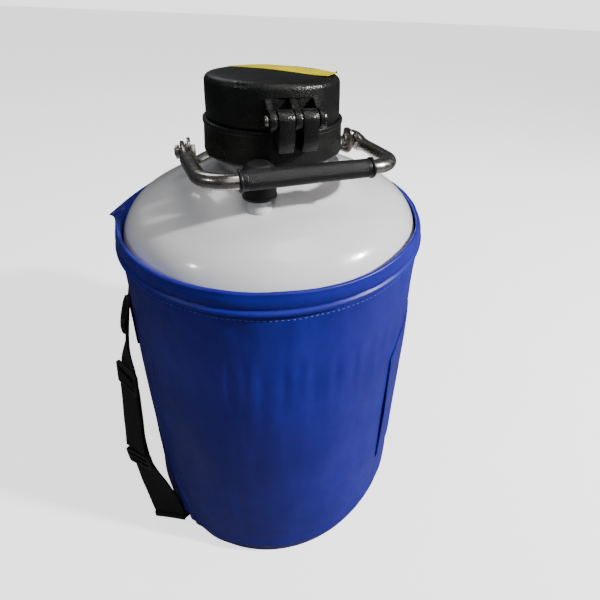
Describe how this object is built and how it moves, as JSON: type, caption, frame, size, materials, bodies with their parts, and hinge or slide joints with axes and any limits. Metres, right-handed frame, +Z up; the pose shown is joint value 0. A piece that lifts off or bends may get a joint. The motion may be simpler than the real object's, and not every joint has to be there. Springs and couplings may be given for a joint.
{
  "type": "liquid nitrogen dewar",
  "caption": "Portable vacuum-insulated cryogenic storage vessel with a domed white top, hinged black cap, fold-over carrying handle and a blue padded jacket with straps.",
  "frame": {"origin": "centre of the jacket's flat underside, on the floor, on the vessel's axis", "axes": "+Z up along the vessel's axis, -Y towards the side with the cap's hinge, +X to the right when the hinge is faced"},
  "size_m": [0.3461, 0.3243, 0.4979],
  "materials": {
    "white_enamel": "gloss white enamel on aluminium",
    "aluminium": "plain drawn aluminium",
    "stainless": "satin stainless steel",
    "black_plastic": "moulded, fine pebble texture, slight sheen",
    "black_rubber": "satin",
    "insulation_foil": "wound foil and paper",
    "neck_laminate": "glass fibre laminate",
    "plug_foam": "rigid foam",
    "label": "plain printed film",
    "jacket_cover": "soft coated cloth, slight sheen",
    "webbing": "woven",
    "strap_hardware": "moulded"
  },
  "bodies": {
    "vessel": {"adsorbent_tray": "aluminium", "base_screw_1": "stainless", "base_screw_2": "stainless", "base_screw_3": "stainless", "base_screw_4": "stainless", "canister_1": "stainless", "canister_2": "stainless", "canister_3": "stainless", "canister_4": "stainless", "canister_5": "stainless", "canister_6": "stainless", "canister_index_ring": "black_plastic", "cap_base": "black_plastic", "handle_plate": "stainless", "hinge_pin": "stainless", "inner_vessel_lower": "aluminium", "inner_vessel_upper": "aluminium", "insulation_wrap": "insulation_foil", "jacket_base": "jacket_cover", "jacket_closure_flap": "jacket_cover", "jacket_hem_band": "jacket_cover", "jacket_piping": "jacket_cover", "jacket_sleeve": "jacket_cover", "neck_collar": "aluminium", "neck_tube": "neck_laminate", "outer_dome": "white_enamel", "outer_shell": "aluminium", "pivot_bolt_left": "stainless", "pivot_bolt_right": "stainless", "pivot_nut_left": "stainless", "pivot_nut_right": "stainless", "pivot_washer_left": "stainless", "pivot_washer_right": "stainless", "strap_adjuster_left": "strap_hardware", "strap_adjuster_right": "strap_hardware", "strap_buckle_left": "strap_hardware", "strap_buckle_right": "strap_hardware", "strap_left": "webbing", "strap_loop_left": "strap_hardware", "strap_loop_right": "strap_hardware", "strap_right": "webbing", "vacuum_o_ring": "black_rubber", "vacuum_plug": "aluminium", "vacuum_port": "white_enamel"},
    "lid": {"lid": "black_plastic", "lid_label": "label"},
    "handle": {"handle_tube": "stainless", "handle_grip": "black_rubber"},
    "neck_plug": {"neck_plug_cap": "black_plastic", "neck_plug_foam": "plug_foam"},
    "vacuum_cap": {"vacuum_cap": "black_rubber"}
  },
  "joints": [
    {"name": "lid_hinge", "type": "hinge", "parent": "vessel", "child": "lid", "pos_m": [0, -0.0742, 0.4708], "axis": [1, 0, 0], "range_deg": [0, 110]},
    {"name": "handle_swing", "type": "hinge", "parent": "vessel", "child": "handle", "pos_m": [0, 0, 0.427], "axis": [-1, 0, 0], "range_deg": [-17, 185]},
    {"name": "plug_lift", "type": "slide", "parent": "vessel", "child": "neck_plug", "axis": [0, 0, 1], "range_m": [0, 0.018]},
    {"name": "vacuum_cap_pull", "type": "slide", "parent": "vessel", "child": "vacuum_cap", "axis": [0, 0, 1], "range_m": [0, 0.015]}
  ]
}
